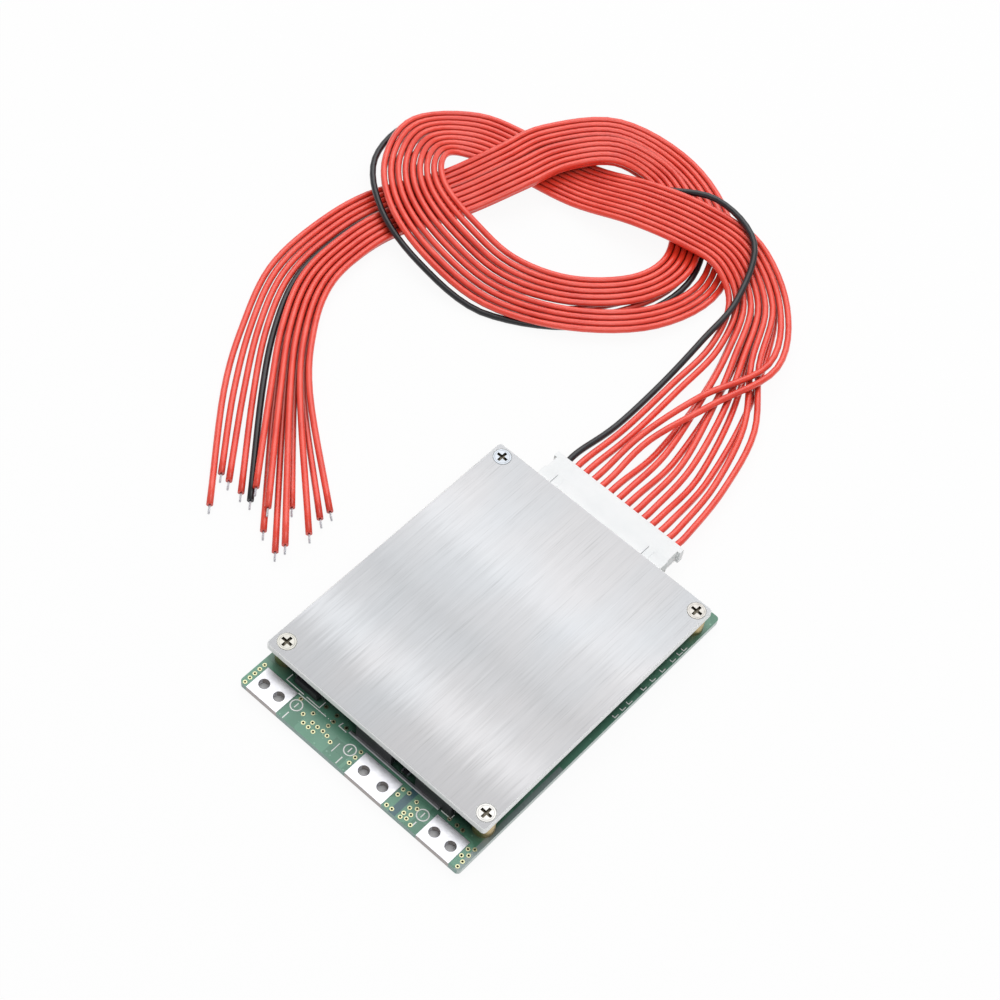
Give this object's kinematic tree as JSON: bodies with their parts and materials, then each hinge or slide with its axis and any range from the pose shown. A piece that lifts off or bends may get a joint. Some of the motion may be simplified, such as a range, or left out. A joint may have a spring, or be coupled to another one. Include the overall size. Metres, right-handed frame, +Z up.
{
  "type": "battery management board",
  "caption": "Green protection circuit board under a brushed metal heat plate, with tinned power pads, a white plug and a long looped harness of thin red wires and one black wire.",
  "frame": {"origin": "middle of the underside of the board and its plug, without the harness", "axes": "+X along the terminal edge, +Y from the terminal edge to the plug, +Z up out of the heat plate"},
  "size_m": [0.15, 0.1892, 0.0088],
  "materials": {
    "circuit_board": "satin solder mask",
    "tinned_copper": "bright tinned",
    "insulation": "matte",
    "brushed_aluminium": "brushed",
    "screw_steel": "nickel plated",
    "brass": "turned",
    "thermal_pad": "soft",
    "component_black": "moulded",
    "lead_metal": "tin plated",
    "connector_white": "satin nylon",
    "black_jacket": "smooth",
    "red_jacket": "smooth"
  },
  "bodies": {
    "root": {"pcb": "circuit_board", "vias": "tinned_copper", "insulation_sheet": "insulation", "heatsink_plate": "brushed_aluminium", "screw_1": "screw_steel", "screw_2": "screw_steel", "screw_3": "screw_steel", "screw_4": "screw_steel", "standoff_1": "brass", "standoff_2": "brass", "standoff_3": "brass", "standoff_4": "brass", "pad_b": "tinned_copper", "pad_p": "tinned_copper", "pad_c": "tinned_copper", "bus_strip": "tinned_copper", "thermal_pad": "thermal_pad", "mosfet_1": "component_black", "mosfet_2": "component_black", "mosfet_3": "component_black", "mosfet_4": "component_black", "mosfet_5": "component_black", "mosfet_6": "component_black", "leadframe_1": "lead_metal", "leadframe_2": "lead_metal", "leadframe_3": "lead_metal", "leadframe_4": "lead_metal", "leadframe_5": "lead_metal", "leadframe_6": "lead_metal", "diode_body": "component_black", "diode_leads": "lead_metal", "shunt_resistors": "component_black", "shunt_terminals": "lead_metal", "control_ic": "component_black", "control_ic_leads": "lead_metal", "chips": "component_black", "chip_terminals": "lead_metal", "underside_chips": "component_black", "underside_terminals": "lead_metal", "connector_header": "connector_white", "header_pins": "lead_metal", "solder_joints": "tinned_copper", "plug_housing": "connector_white", "crimp_contacts": "lead_metal", "wire_00": "black_jacket", "wire_01": "red_jacket", "wire_02": "red_jacket", "wire_03": "red_jacket", "wire_04": "red_jacket", "wire_05": "red_jacket", "wire_06": "red_jacket", "wire_07": "red_jacket", "wire_08": "red_jacket", "wire_09": "red_jacket", "wire_10": "red_jacket", "wire_11": "red_jacket", "wire_12": "red_jacket", "wire_13": "red_jacket", "wire_tips": "tinned_copper"}
  },
  "joints": []
}
